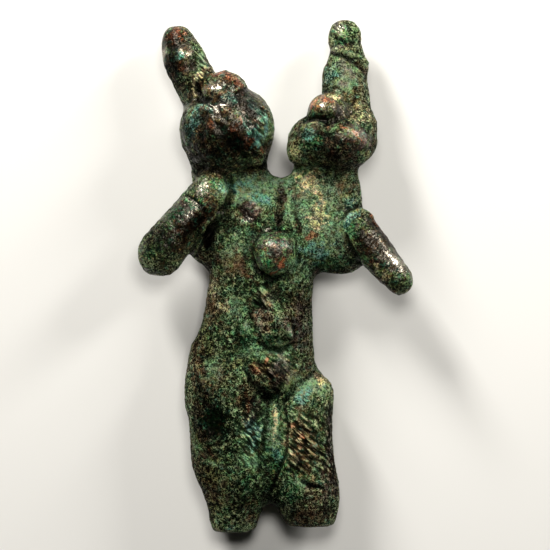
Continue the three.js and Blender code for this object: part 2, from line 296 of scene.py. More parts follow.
# Low lumps, and hollows below zero: (x, y, half width, half height, turn in degrees, height in mm).
LUMPS = {
    "boss on the right headdress": (184, 55, 9, 9, 0, 0.40),
    "shoulder of the right headdress": (163, 54, 7, 13, 0, 0.15),
    "boss on the left headdress": (336, 83, 5, 5, 0, 0.30),
    "brow of the left head": (321, 107, 14, 11, -15, 0.25),
    "breast": (272, 252, 20, 22, 0, 0.55),
    "right of the belly's ridge": (299, 320, 7, 24, 0, -0.35),
    "lip of the left head": (331, 129, 6, 4, 0, 0.25),
    "left of that lip": (312, 138, 8, 6, 0, 0.20),
    "end of the snout": (297, 150, 8, 8, 0, 0.15),
    "knob of the left hip": (320, 386, 10, 9, 0, 0.20),
    "fold of the belly": (284, 333, 8, 8, 30, 0.30),
    "hollow of the right thigh": (216, 422, 22, 26, 0, -0.25),
    "hollow beside the groin": (268, 398, 6, 5, 0, -0.35),
    "dent in the chest": (243, 211, 6, 8, 30, -0.20),
}

# Fields of short parallel gouges: (middle, half width, half height, count, length, half width, depth,
# slant in degrees below the horizontal), in pixels and mm.
GOUGES = {
    "left thigh": ((302, 440), 19, 34, 40, 12, 1.9, 0.25, 36),
    "under the breast": ((262, 291), 7, 7, 6, 11, 1.6, 0.20, 125),
    "right thigh's inner face": ((256, 436), 9, 26, 12, 10, 1.8, 0.16, 130),
    "tip of the left headdress": ((345, 32), 11, 12, 16, 10, 1.8, 0.26, 55),
    "foot of the right headdress": ((199, 72), 10, 16, 14, 12, 1.7, 0.20, 60),
    "face of the right head": ((256, 128), 12, 26, 16, 14, 1.8, 0.12, 55),
    "mound": ((262, 370), 12, 14, 9, 9, 2.0, 0.20, 40),
}
# How much the gouges of a field vary: in slant, in degrees, and in length, as shares.
SLANT_SPREAD = 14
LENGTH_SPREAD = (0.6, 1.2)
GOUGE_SEED = 7

# Where the metal is smooth: (x, y, half width, half height, turn). The corrosion's grain is weak there.
SMOOTH = [
    (228, 122, 62, 58, 0), (175, 46, 22, 38, 20), (328, 110, 30, 20, 0), (352, 138, 22, 16, -20),
    (188, 220, 66, 32, 47), (380, 254, 28, 56, 40), (273, 252, 26, 28, 0), (282, 366, 8, 12, 0),
    (215, 421, 15, 17, 0), (252, 212, 14, 9, 30), (340, 30, 10, 8, 0),
]


def widest(plan, patches):
    """The largest share of any of the patches or routes at each place."""
    shares = []
    for patch in patches:
        if len(patch) == 2:
            shares.append(stroke_share(plan, *patch))
        else:
            shares.append(patch_share(plan, patch))
    return np.max(shares, axis=0)


def cut_relief(plan):
    """Height of the named relief over the solid, in metres."""
    raised = np.zeros(len(plan))
    sunk = np.zeros(len(plan))
    for route, width, height in STROKES.values():
        share = stroke_share(plan, route, width) * height * MM
        raised = np.maximum(raised, share)
        sunk = np.minimum(sunk, share)
    for *patch, height in LUMPS.values():
        raised += patch_share(plan, patch) * height * MM
    random = np.random.default_rng(GOUGE_SEED)
    for (x, y), half_x, half_y, count, length, width, depth, slant in GOUGES.values():
        for _ in range(count):
            cx = x + random.uniform(-half_x, half_x)
            cy = y + random.uniform(-half_y, half_y)
            angle = math.radians(slant + random.uniform(-SLANT_SPREAD, SLANT_SPREAD))
            reach = 0.5 * length * random.uniform(*LENGTH_SPREAD)
            dx = reach * math.cos(angle)
            dy = reach * math.sin(angle)
            share = stroke_share(plan, [(cx - dx, cy - dy), (cx + dx, cy + dy)], width)
            sunk = np.minimum(sunk, -share * depth * MM)
    return raised + sunk


# The corrosion's forms: (height in mm, size in mm, seed).
SWELL = (0.18, 4.5, 11)
CRUST = (0.10, 1.5, 23)
PITS = (0.07, 1.3, 31)
GRAIN = (0.11, 0.62, 41)
# The noise that the crust's creases take off, and a pit's reach as a share of the pits' spacing.
CRUST_LEVEL = 0.15
PIT_REACH = 0.40
# Where the metal is smooth: the share of crust, pits and grain that goes, and how much lower the
# swellings are, in mm.
SMOOTH_LOSS = 0.92
SMOOTH_SWELL_LOSS = 0.06


def corrosion(points, smooth):
    """Swellings, crust, pits and grain, in metres along the normal."""
    height, size, seed = SWELL
    swell = (height - SMOOTH_SWELL_LOSS * smooth) * MM * layered_noise(points, size * MM, seed)
    height, size, seed = CRUST
    crust = height * MM * (np.abs(layered_noise(points, size * MM, seed)) - CRUST_LEVEL)
    height, size, seed = PITS
    pits = height * MM * (1 - smooth_step(0.0, PIT_REACH, pit_noise(points, size * MM, seed)))
    height, size, seed = GRAIN
    grain = height * MM * smooth_noise(points, size * MM, seed)
    return swell + (crust - pits + grain) * (1 - SMOOTH_LOSS * smooth)


# Patches of the patina, and of painted light and shade, by the pixels they show at: an ellipse (x, y,
# half width, half height, turn), or a route and its half width.
PATCHES = {
    "green": [(275, 240, 75, 70, 0), (262, 330, 62, 60, 0), (262, 450, 80, 95, 0)],
    # Pale sage patina, and painted light: these patches are also made up to 2.9 times lighter, with less
    # painted shade in their pits.
    "pale_and_lit": [(250, 190, 40, 28, 0), (312, 192, 38, 36, 0), (282, 180, 60, 16, 0), (346, 78, 18, 32, 0),
             (322, 222, 34, 52, 0), (268, 350, 34, 12, 0), (308, 384, 22, 14, 0),
             ([(189, 422), (194, 444), (204, 457), (220, 464)], 7), (308, 184, 22, 16, -40),
             (246, 186, 26, 12, 0), (275, 430, 13, 40, 0), (322, 232, 20, 30, 0), (300, 205, 40, 26, 0),
             (302, 172, 24, 10, 0), (212, 372, 12, 18, 0), (234, 256, 16, 22, 0), (236, 308, 12, 14, 0),
             (246, 328, 8, 10, 0), (252, 460, 10, 14, 0), (300, 480, 12, 8, 0), (202, 58, 8, 12, 0),
             (312, 128, 12, 7, 0), (265, 130, 8, 18, -15), (356, 138, 17, 8, -20), (290, 270, 30, 16, 0)],
    # Painted shade: undersides, hollows, creases and ends made darker, with fewer flecks and less
    # reflection.
    "painted_shade": [(208, 510, 12, 16, 0), (373, 150, 8, 14, 0), (198, 160, 16, 18, 0), (307, 318, 7, 22, 0),
             (210, 345, 12, 18, 0), (199, 392, 8, 20, 0), (204, 100, 8, 8, 0), (263, 160, 8, 10, 0),
             (222, 146, 44, 26, 0), (172, 76, 18, 32, 10), (170, 38, 14, 20, 20), (325, 154, 34, 14, 0),
             (208, 238, 12, 22, 20), (160, 245, 24, 22, 0), (205, 440, 22, 90, 0), (214, 421, 26, 30, 0),
             (334, 268, 24, 12, 0), (244, 492, 22, 28, 0), (288, 508, 24, 20, 0), (270, 345, 12, 7, 0),
             (196, 320, 8, 40, 0), (238, 346, 14, 12, 0), (275, 392, 16, 12, 0), (360, 236, 10, 22, 30),
             (400, 284, 12, 10, 0), (190, 225, 26, 12, 48), (246, 400, 12, 26, -10), (275, 492, 10, 34, 0),
             (230, 440, 14, 56, 0), (322, 120, 20, 14, 0), (330, 440, 9, 50, -3), (288, 326, 12, 22, 0),
             (240, 98, 14, 10, 0), (186, 128, 8, 26, 0), (282, 264, 15, 12, 0), (254, 110, 10, 14, 0),
             (160, 252, 22, 22, 0), (331, 436, 8, 40, -3), ([(366, 218), (384, 234), (398, 252)], 9),
             (211, 124, 5, 8, 0), (202, 86, 7, 10, 0), (338, 480, 10, 40, 0), (345, 62, 12, 6, 20),
             (276, 375, 18, 20, 0), (330, 508, 9, 20, 0)],
    "brown": [(300, 442, 22, 42, 0), (262, 370, 18, 16, 0), (297, 320, 14, 36, 0), (254, 212, 14, 10, 30),
              (210, 300, 14, 30, 0), (246, 398, 12, 24, -10), (332, 460, 12, 60, 0), (205, 490, 18, 44, 0),
              (176, 44, 18, 30, 20), (385, 250, 26, 46, 40), (190, 220, 44, 24, 48), (262, 320, 16, 18, 0),
              (236, 264, 16, 16, 0), (322, 104, 20, 14, 0), (230, 110, 46, 46, 0), (340, 140, 36, 22, 0),
              (310, 505, 26, 20, 0), (198, 370, 10, 50, 0)],
    "lime": [(215, 485, 26, 44, 0), ([(191, 420), (195, 445), (205, 457), (220, 464)], 9),
             (322, 222, 22, 34, 0), (200, 84, 9, 20, 0), (218, 184, 12, 8, 0), (240, 358, 40, 14, 0),
             (176, 212, 12, 10, 40), (155, 248, 12, 12, 0), (214, 145, 8, 8, 0), (310, 128, 10, 6, 0),
             (232, 250, 10, 22, 0), (205, 330, 12, 40, 0), (275, 430, 7, 26, 0), (300, 385, 14, 10, 0),
             (297, 152, 9, 9, 0)],
    "turquoise": [([(190, 146), (190, 126), (197, 113), (207, 109), (216, 116)], 11), (231, 100, 11, 10, 0),
                  ([(244, 96), (259, 110), (268, 134)], 9), ([(238, 110), (250, 128), (262, 148)], 9),
                  (180, 54, 8, 8, 0), (238, 186, 16, 8, 0), (258, 198, 14, 10, 0),
                  (352, 200, 9, 6, 30), ([(344, 228), (350, 217), (360, 210)], 4), (300, 395, 13, 10, 0),
                  (254, 432, 10, 24, 0), (230, 526, 5, 4, 0), (318, 250, 18, 14, 0), (276, 452, 9, 10, 0),
                  (308, 138, 6, 8, 0), (330, 76, 8, 12, 0), (258, 142, 6, 14, -35)],
    "rust": [(175, 34, 14, 12, 10), (316, 104, 10, 8, -20), (202, 86, 5, 10, 0), (250, 145, 5, 9, -35),
             ([(208, 76), (222, 72), (238, 80), (245, 96)], 7), (211, 124, 4, 7, 0), (231, 130, 7, 4, 0),
             (261, 152, 5, 6, 0), (240, 120, 5, 7, 0), ([(306, 112), (310, 102), (320, 98), (331, 104)], 5),
             ([(338, 128), (350, 132), (360, 140)], 4),
             (180, 231, 4, 5, 0), (282, 262, 6, 7, 0), ([(258, 267), (268, 273), (280, 270)], 3),
             (256, 370, 5, 8, 40), (268, 358, 5, 3, 40), (247, 393, 4, 10, 20), (293, 423, 4, 3, 40),
             (299, 436, 7, 4, 40), (298, 450, 6, 4, 40), ([(372, 218), (386, 234), (398, 250)], 5),
             (246, 276, 12, 5, 0), (182, 70, 4, 6, 0), (211, 384, 2.5, 1.6, 0),
             ([(248, 394), (248, 420)], 2), (310, 236, 10, 5, 30), (294, 222, 3, 4, 0)],
    "ochre": [([(290, 170), (306, 181), (320, 196), (326, 208)], 6), (357, 116, 15, 14, 0),
              (312, 182, 16, 14, 0), (222, 306, 9, 9, 0), (213, 290, 5, 12, 0), (378, 266, 5, 5, 45),
              (384, 276, 6, 5, 45), (276, 422, 4, 20, 0), ([(205, 66), (194, 84), (196, 100)], 7),
              (322, 380, 7, 6, 0), (318, 218, 12, 18, 0), (296, 456, 6, 6, 30),
              (300, 96, 10, 8, 0), (335, 98, 10, 4, 0), (297, 154, 8, 6, 0), (218, 173, 20, 5, 0),
              ([(309, 126), (318, 122)], 5)],
    "emerald": [(218, 184, 10, 7, 0), (174, 214, 10, 6, 40), (150, 254, 12, 7, 30), (268, 262, 5, 4, 0),
                (335, 264, 26, 9, 0), (312, 144, 12, 10, 0), (278, 462, 14, 14, 0), (290, 496, 16, 20, 0),
                (352, 228, 8, 14, 30), (270, 338, 10, 8, 0), (246, 338, 10, 12, 0), (215, 420, 14, 20, 0),
                (345, 40, 8, 6, 0), (246, 482, 12, 14, 0), (198, 200, 20, 8, 45)],
    # Dark metal, and painted shade in grooves, hollows and undersides.
    "dark_metal_and_shade": [(226, 140, 44, 32, 0), (232, 82, 12, 6, 0), (336, 140, 42, 30, 0), (172, 60, 20, 44, 15),
             (185, 222, 46, 22, 48), (380, 254, 22, 44, 40), (208, 240, 8, 18, 20), (278, 190, 4, 8, 0),
             (279, 216, 5, 18, 0), (298, 220, 4, 18, 0), (248, 210, 12, 11, 30), (281, 200, 7, 22, 0),
             (277, 252, 21, 23, 0), (217, 424, 12, 18, 0), (342, 118, 9, 12, 0), (299, 322, 7, 18, 0),
             (276, 378, 14, 16, 0), (204, 420, 14, 60, 0), (312, 484, 10, 4, 0), (242, 345, 6, 5, 0)],
    "violet": [(346, 70, 12, 22, 0), (302, 326, 13, 36, 0), (282, 370, 15, 20, 0), (329, 440, 7, 40, -3),
               (340, 114, 7, 8, 0), (326, 490, 12, 26, 0), (282, 322, 12, 12, 0), (268, 302, 10, 14, -20),
               (356, 138, 18, 8, -20), (276, 247, 14, 12, 0), (252, 412, 11, 26, -15), (260, 320, 9, 12, 0),
               (250, 132, 6, 14, -35), (253, 210, 15, 12, 30), (280, 190, 5, 9, 0), (208, 58, 6, 12, 0)],
    "streaked": [(302, 440, 24, 38, 0), (252, 434, 18, 36, 0), (276, 368, 18, 22, 0), (256, 126, 16, 32, 0),
                 (201, 72, 12, 20, 0), (330, 445, 12, 50, 0), (262, 296, 12, 14, 0)],
    # Painted light: patches made up to 2.4 times lighter, mostly on the upper chest under the heads.
    "painted_light": [([(294, 172), (306, 180), (320, 194)], 7), (252, 190, 30, 18, 0), (274, 424, 7, 24, 0),
              (236, 194, 8, 12, 0), (346, 188, 13, 18, 0), (346, 80, 10, 16, 0), (358, 112, 8, 12, 0),
              (302, 386, 20, 13, 0), (308, 178, 18, 10, -40), (332, 222, 10, 22, 0), (264, 254, 4, 5, 0),
              (275, 180, 30, 7, 0), (340, 96, 10, 8, 0)],
    "shine": [(186, 46, 6, 5, 0), (204, 191, 14, 7, 45), (190, 210, 14, 7, 45), (216, 88, 9, 6, 0),
              (221, 107, 9, 7, 40), (392, 260, 6, 18, 45), (325, 107, 3, 3, 0), (187, 55, 4, 6, 0),
              (263, 242, 6, 10, 0), (164, 54, 3, 12, 0), (289, 329, 2, 7, 30), (340, 26, 8, 6, 0),
              (338, 46, 10, 3, 20)],
}


# How the patches' edges wander: size and reach in mm, and seeds.
WANDER_SIZE = 2.4
WANDER_REACH = 0.9
WANDER_SEEDS = (51, 61)
# The patina of the sides and back, which the photograph doesn't show: size in mm, seed, the noise from
# which it starts and is full, and its most.
BACK_SIZE = 8
BACK_SEED = 200
BACK_FALL = (0.05, 0.45)
BACK_MOST = 0.8


def patina_shares(points, front):
    """How much of each part of the patina, and of the painted light and shade, each vertex has, from 0 to 1.
    """
    wander = np.stack([layered_noise(points, WANDER_SIZE * MM, seed) for seed in WANDER_SEEDS], axis=1)
    plan = points[:, :2] + wander * WANDER_REACH * MM
    shares = {}
    for turn, (name, patches) in enumerate(PATCHES.items()):
        noise = layered_noise(points, BACK_SIZE * MM, BACK_SEED + turn)
        elsewhere = smooth_step(*BACK_FALL, noise) * BACK_MOST
        shares[name] = widest(plan, patches) * front + elsewhere * (1 - front)
    return shares


def kept_inside(points, box):
    """The points, eased back where they would stand outside the solid's box."""
    eased = points.copy()
    ease = 0.4 * MM
    for axis in range(3):
        low, high = box[0][axis], box[1][axis]
        over = np.maximum(points[:, axis] - (high - ease), 0)
        eased[:, axis] += ease * np.tanh(over / ease) - over
        if axis < 2:
            under = np.maximum(low + ease - points[:, axis], 0)
            eased[:, axis] -= ease * np.tanh(under / ease) - under
    eased[:, 2] = np.maximum(eased[:, 2], 0)
    return eased


# How far a vertex stands over its near and its wider surroundings: rounds of smoothing, and the height
# in mm from the lowest share to the highest.
CREST_ROUNDS = 2
CREST_SPAN = 0.05
RISE_ROUNDS = 16
RISE_SPAN = 0.6


def height_shares(points, triangles, edges):
    """The crests and the rises of the surface as values from 0 to 1, with 0.5 where it is even."""
    normals = vertex_normals(points, triangles)
    crest = np.sum((points - neighbour_mean(points, edges)) * normals, axis=1)
    for _ in range(CREST_ROUNDS):
        crest = 0.5 * crest + 0.5 * neighbour_mean(crest, edges)
    broad = points.copy()
    for _ in range(RISE_ROUNDS):
        broad = neighbour_mean(broad, edges)
    rise = np.sum((points - broad) * normals, axis=1)
    return {
        "crest": np.clip(0.5 + crest / (CREST_SPAN * MM), 0, 1),
        "rise": np.clip(0.5 + rise / (RISE_SPAN * MM), 0, 1),
    }


# Rounds of subdivision, how far up a normal points where the front starts and is full, and the height
# under which the relief fades, so that the flat spots stay flat.
SUBDIVISIONS = 2
FRONT_FALL = (-0.2, 0.3)
RESTING_ZONE = 0.6 * MM


def statuette_piece(node):
    """The casting as a fine mesh over its solid, with the patina's values, and those of the painted light
    and shade, on its vertices.
    """
    points, triangles = welded_arrays(node)
    for _ in range(SUBDIVISIONS):
        points, triangles = loop_subdivided(points, triangles)
    normals = vertex_normals(points, triangles)
    edges, _, _ = edges_of(triangles)
    front = smooth_step(*FRONT_FALL, normals[:, 2])
    smooth = widest(points[:, :2], SMOOTH) * front
    moved = cut_relief(points[:, :2]) * front + corrosion(points, smooth)
    moved = moved * smooth_step(0.0, RESTING_ZONE, points[:, 2])
    fine = kept_inside(points + normals * moved[:, None], CAD_BOX)

    mesh = bpy.data.meshes.new("bronze_statuette")
    mesh.from_pydata(fine, [], triangles)
    mesh.polygons.foreach_set("use_smooth", np.ones(len(triangles), dtype=bool))
    values = patina_shares(points, front)
    values["smooth"] = smooth
    values.update(height_shares(fine, triangles, edges))
    for name, share in values.items():
        layer = mesh.attributes.new(name, "FLOAT", "POINT")
        layer.data.foreach_set("value", share.astype(np.float32))
    piece = bpy.data.objects.new("bronze_statuette", mesh)
    bpy.context.scene.collection.objects.link(piece)
    return piece


# Materials

# How far red, green and blue wander beside each other, and the least share of each that stays.
CHANNEL_WANDER = (1.0, 0.8, 1.1)
LEAST_CHANNEL = (0.15, 0.15, 0.15)


class NodeSheet:
    """Short names for the nodes that a material is made of."""

    def __init__(self, name):
        self.material = bpy.data.materials.new(name)
        self.material.use_nodes = True
        self.tree = self.material.node_tree
        self.shader = self.tree.nodes["Principled BSDF"]

    def set(self, socket, value):
        if isinstance(value, bpy.types.NodeSocket):
            self.tree.links.new(value, socket)
        else:
            socket.default_value = value

    def position(self):
        """Object coordinates in millimetres."""
        coordinates = self.tree.nodes.new("ShaderNodeTexCoord")
        scaled = self.tree.nodes.new("ShaderNodeVectorMath")
        scaled.operation = "SCALE"
        self.set(scaled.inputs[0], coordinates.outputs["Object"])
        scaled.inputs["Scale"].default_value = 1 / MM
        return scaled.outputs[0]

    def attribute(self, name):
        node = self.tree.nodes.new("ShaderNodeAttribute")
        node.attribute_name = name
        return node.outputs["Fac"]

    def noise(self, size_mm, detail=4.0, roughness=0.6, offset=0.0, swirl=0.0, turn=0.0,
              stretch=(1, 1, 1), output="Fac"):
        """Noise of a size; the stretch lies along axes turned clockwise in plan by some degrees."""
        node = self.tree.nodes.new("ShaderNodeTexNoise")
        node.inputs["Distortion"].default_value = swirl
        turned = self.tree.nodes.new("ShaderNodeVectorRotate")
        turned.rotation_type = "Z_AXIS"
        turned.inputs["Angle"].default_value = math.radians(turn)
        self.set(turned.inputs["Vector"], self.place)
        shifted = self.tree.nodes.new("ShaderNodeVectorMath")
        shifted.operation = "MULTIPLY_ADD"
        self.set(shifted.inputs[0], turned.outputs[0])
        shifted.inputs[1].default_value = stretch
        shifted.inputs[2].default_value = (offset, offset * 0.7, -offset)
        self.set(node.inputs["Vector"], shifted.outputs[0])
        node.inputs["Scale"].default_value = 1 / size_mm
        node.inputs["Detail"].default_value = detail
        node.inputs["Roughness"].default_value = roughness
        return node.outputs[output]

    def math(self, operation, a, b=0.0):
        node = self.tree.nodes.new("ShaderNodeMath")
        node.operation = operation
        self.set(node.inputs[0], a)
        self.set(node.inputs[1], b)
        return node.outputs[0]

    def times(self, a, b):
        return self.math("MULTIPLY", a, b)

    def plus(self, a, b):
        return self.math("ADD", a, b)

    def ramped(self, value, low, high, to_low=0.0, to_high=1.0):
        node = self.tree.nodes.new("ShaderNodeMapRange")
        node.interpolation_type = "SMOOTHSTEP"
        for socket, number in zip(node.inputs, (value, low, high, to_low, to_high)):
            self.set(socket, number)
        return node.outputs["Result"]

    def by_patch(self, name, none, full):
        """A number that goes from one value to another with a patch's share."""
        return self.ramped(self.attribute(name), 0.0, 1.0, none, full)

    def mixed(self, share, below, above):
        node = self.tree.nodes.new("ShaderNodeMix")
        node.data_type = "RGBA"
        factor, low, high = node.inputs[0], node.inputs[6], node.inputs[7]
        self.set(factor, share)
        self.set(low, below)
        self.set(high, above)
        return node.outputs[2]

    def mixed_value(self, share, below, above):
        node = self.tree.nodes.new("ShaderNodeMix")
        node.data_type = "FLOAT"
        self.set(node.inputs["Factor"], share)
        self.set(node.inputs["A"], below)
        self.set(node.inputs["B"], above)
        return node.outputs["Result"]

    def broken(self, share, texture):
        """A share from 0 to 1 made patchy: the smaller it is, the fewer peaks of the texture it covers."""
        return self.ramped(self.plus(self.times(share, 0.8), texture), 0.84, 1.16)

    def even(self, value):
        """A noise texture's values spread from 0 to 1."""
        return self.ramped(value, 0.30, 0.70)

    def varied(self, colour, size_mm, strength, offset):
        """A colour whose red, green and blue each wander on their own."""
        cast = self.tree.nodes.new("ShaderNodeVectorMath")
        cast.operation = "MULTIPLY_ADD"
        self.set(cast.inputs[0], self.noise(size_mm, 3.0, 0.6, offset, output="Color"))
        cast.inputs[1].default_value = [strength * most for most in CHANNEL_WANDER]
        cast.inputs[2].default_value = [1 - strength * most / 2 for most in CHANNEL_WANDER]
        kept = self.tree.nodes.new("ShaderNodeVectorMath")
        kept.operation = "MAXIMUM"
        self.set(kept.inputs[0], cast.outputs[0])
        kept.inputs[1].default_value = LEAST_CHANNEL
        node = self.tree.nodes.new("ShaderNodeVectorMath")
        node.operation = "MULTIPLY"
        self.set(node.inputs[0], colour)
        self.set(node.inputs[1], kept.outputs[0])
        return node.outputs[0]

    def scaled(self, colour, factor):
        node = self.tree.nodes.new("ShaderNodeVectorMath")
        node.operation = "SCALE"
        self.set(node.inputs[0], colour)
        self.set(node.inputs["Scale"], factor)
        return node.outputs[0]


# Colours of the patina where it is neither sunk nor worn, as linear red, green and blue.
BROWN = (0.084, 0.045, 0.019, 1)
GREEN = (0.066, 0.150, 0.052, 1)
GREY_GREEN = (0.150, 0.180, 0.120, 1)
SAGE = (0.102, 0.176, 0.100, 1)
# Dark metal, also used as painted shade in grooves, hollows and undersides.
DARK_METAL_AND_SHADE = (0.024, 0.016, 0.009, 1)
RUST = (0.205, 0.068, 0.030, 1)
TURQUOISE = (0.078, 0.205, 0.160, 1)
OCHRE = (0.420, 0.365, 0.190, 1)
EMERALD = (0.012, 0.095, 0.030, 1)
VIOLET_GREY = (0.085, 0.062, 0.052, 1)
WARM_BROWN = (0.165, 0.066, 0.026, 1)
TEAL_GREEN = (0.020, 0.150, 0.092, 1)
CREAM = (0.700, 0.790, 0.430, 1)
LIME = (0.430, 0.440, 0.130, 1)


# The patina's noises: (size in mm, detail, roughness, offset, swirl, turn in degrees, stretch).
NOISES = {
    "cloud": (3.5, 5.0, 0.65),
    "mottle": (1.3, 6.0, 0.7, 17.0),
    "grain": (0.56, 5.0, 0.75, 31.0),
    "speck": (0.25, 1.5, 0.6, 43.0),
    "islands": (1.6, 8.0, 0.74, 53.0),
    "crumbs": (0.6, 5.0, 0.72, 71.0),
    "tint": (0.8, 3.0, 0.6, 101.0),
    "streaks": (0.62, 3.0, 0.6, 127.0, 0.4, 42.0, (0.34, 1.5, 1)),
    "ripple": (0.85, 1.5, 0.5, 97.0),
    "wrinkle": (0.42, 1.0, 0.5, 113.0, 0.5, 30.0, (1.3, 0.55, 1)),
}
THREAD = (0.40, 2.5, 0.55, 89.0, 0.6)
DRIFT = (1.0, 5.0, 0.68, 151.0)
CAST_SIZE = 0.8
CAST_STRENGTH = 1.1
CAST_OFFSET = 137.0

# The paints over the ground, from the lowest: (patch, colour, the noise that breaks it up, its most).
PAINTS = [
    ("pale_and_lit", SAGE, "islands", 0.6),
    ("brown", BROWN, "islands", 0.85),
    # Dark metal, and painted shade in grooves, hollows and undersides.
    ("dark_metal_and_shade", DARK_METAL_AND_SHADE, "islands", 0.92),
    ("violet", VIOLET_GREY, "islands", 0.7),
    ("emerald", EMERALD, "crumbs", 0.85),
    ("turquoise", TURQUOISE, "islands", 0.75),
    ("ochre", OCHRE, "crumbs", 0.85),
    ("rust", RUST, "islands", 0.9),
]

# The factor on the colours, painted shade in the pits and hollows and painted light on the crests, partly
# the crust's own darker lows: what it is in the deepest pit, how many times that on the highest crest, and
# its most.
PIT_FACTOR = 0.00102
CREST_OVER_PIT = 90000.0
MOST_FACTOR = 3.0

# The shares of the crust's grain, and of the level at which a place stands.
GRAIN_SHARE = 0.35
SPECK_SHARE = 0.17
THREAD_SHARE = 0.48
FINE_SHARE = 0.64
CREST_SHARE = 0.18
RISE_SHARE = 0.18
# The level from which the metal is worn and the level at which it is wholly so.
WEAR_LEVELS = (0.61, 0.74)
# The grain from which the crust is glossy and at which it is most so, and the roughness at both.
GLOSSY_GRAIN = (0.50, 0.80)
CRUST_ROUGHNESS = (0.62, 0.30)
POLISHED_ROUGHNESS = 0.25
METAL_TINT = (1.0, 0.90, 0.74, 1)
BUMP_DEPTH = 0.45 * MM


def patina_hue(sheet, noises):
    """The patina's colour before pits and crests change it."""
    hue = sheet.mixed(noises["cloud"], BROWN, GREEN)
    hue = sheet.mixed(sheet.broken(sheet.attribute("green"), noises["islands"]), hue, GREEN)
    hue = sheet.mixed(sheet.times(noises["mottle"], 0.2), hue, GREY_GREEN)
    streaked = sheet.times(sheet.attribute("streaked"), 0.6)
    for name, paint, texture, most in PAINTS:
        texture = sheet.mixed_value(streaked, noises[texture], noises["streaks"])
        cover = sheet.broken(sheet.attribute(name), texture)
        hue = sheet.mixed(sheet.times(cover, most), hue, paint)
    drift = sheet.noise(*DRIFT)
    most = sheet.by_patch("pale_and_lit", 0.62, 0.15)
    hue = sheet.mixed(sheet.times(sheet.ramped(drift, 0.53, 0.67), most), hue, WARM_BROWN)
    hue = sheet.mixed(sheet.times(sheet.ramped(drift, 0.48, 0.34), most), hue, TEAL_GREEN)
    return sheet.varied(hue, CAST_SIZE, CAST_STRENGTH, CAST_OFFSET)


def crust_grain(sheet, noises):
    """The crust's finest highs and lows, from 0 to 1: grains, specks, thin ridges, and streaks."""
    thread = sheet.math("ABSOLUTE", sheet.math("SUBTRACT", sheet.noise(*THREAD), 0.5))
    thread = sheet.ramped(thread, 0.0, 0.09, 1.0, 0.0)
    fine = sheet.plus(sheet.times(noises["grain"], GRAIN_SHARE), sheet.times(noises["speck"], SPECK_SHARE))
    fine = sheet.plus(fine, sheet.times(thread, THREAD_SHARE))
    return sheet.mixed_value(sheet.times(sheet.attribute("streaked"), 0.75), fine, noises["streaks"])


def surface_level(sheet, fine, smooth):
    """How high a place stands, from 0 in the pits to 1 on the crests."""
    calm = sheet.mixed_value(sheet.times(smooth, 0.35), fine, 0.45)
    level = sheet.times(calm, FINE_SHARE)
    level = sheet.plus(level, sheet.times(sheet.attribute("crest"), CREST_SHARE))
    return sheet.plus(level, sheet.times(sheet.attribute("rise"), RISE_SHARE))


def shade_and_tone_factor(sheet, level, smooth):
    """What the hue is multiplied by: painted shade in pits and hollows and painted light on crests, partly
    the crust's own darker lows, and painted light and shade by patch.
    """
    # Less painted shade in the pits of the pale, lit patches.
    even = sheet.mixed_value(sheet.times(sheet.attribute("pale_and_lit"), 0.35), level, 0.56)
    # Painted shade in the pits and hollows and painted light on the crests, partly the crust's own darker
    # lows.
    height_shade = sheet.times(sheet.math("POWER", CREST_OVER_PIT, even), PIT_FACTOR)
    # Painted light on the pale and bright patches, painted shade on the shaded ones.
    patch_light_and_shade = sheet.plus(sheet.by_patch("pale_and_lit", 1.0, 2.9), sheet.by_patch("painted_shade", 0.0, -0.75))
    patch_light_and_shade = sheet.times(patch_light_and_shade, sheet.by_patch("painted_light", 1.0, 2.4))
    patch_light_and_shade = sheet.times(sheet.math("MAXIMUM", patch_light_and_shade, 0.22), sheet.ramped(smooth, 0.0, 1.0, 1.0, 0.55))
    return sheet.math("MINIMUM", sheet.times(height_shade, patch_light_and_shade), MOST_FACTOR)


def wear_share(sheet, level, smooth, cloud):
    """How much of a place is worn to pale flecks, from 0 to 1."""
    raised = sheet.plus(level, sheet.times(sheet.attribute("lime"), 0.03))
    worn = sheet.ramped(raised, *WEAR_LEVELS)
    worn = sheet.times(worn, sheet.ramped(smooth, 0.0, 1.0, 0.8, 0.05))
    # Fewer flecks on the dark metal and in its painted shade.
    worn = sheet.times(worn, sheet.by_patch("dark_metal_and_shade", 1.0, 0.2))
    # Fewer flecks on the pale patina and where light is painted.
    worn = sheet.times(worn, sheet.by_patch("pale_and_lit", 1.0, 0.55))
    worn = sheet.times(worn, sheet.ramped(cloud, 0.15, 0.70, 0.25, 1.0))
    # Fewer flecks where shade is painted.
    return sheet.times(worn, sheet.ramped(sheet.attribute("painted_shade"), 0.2, 1.0, 1.0, 0.75))


def fleck_colour(sheet, hue, tint):
    """The flecks' colour: the hue made lighter, cream, or lime."""
    fleck = sheet.mixed(sheet.ramped(tint, 0.2, 0.8, 0.10, 0.95), sheet.scaled(hue, 3.6), CREAM)
    lime = sheet.broken(sheet.attribute("lime"), tint)
    return sheet.mixed(sheet.times(lime, 0.75), fleck, LIME)


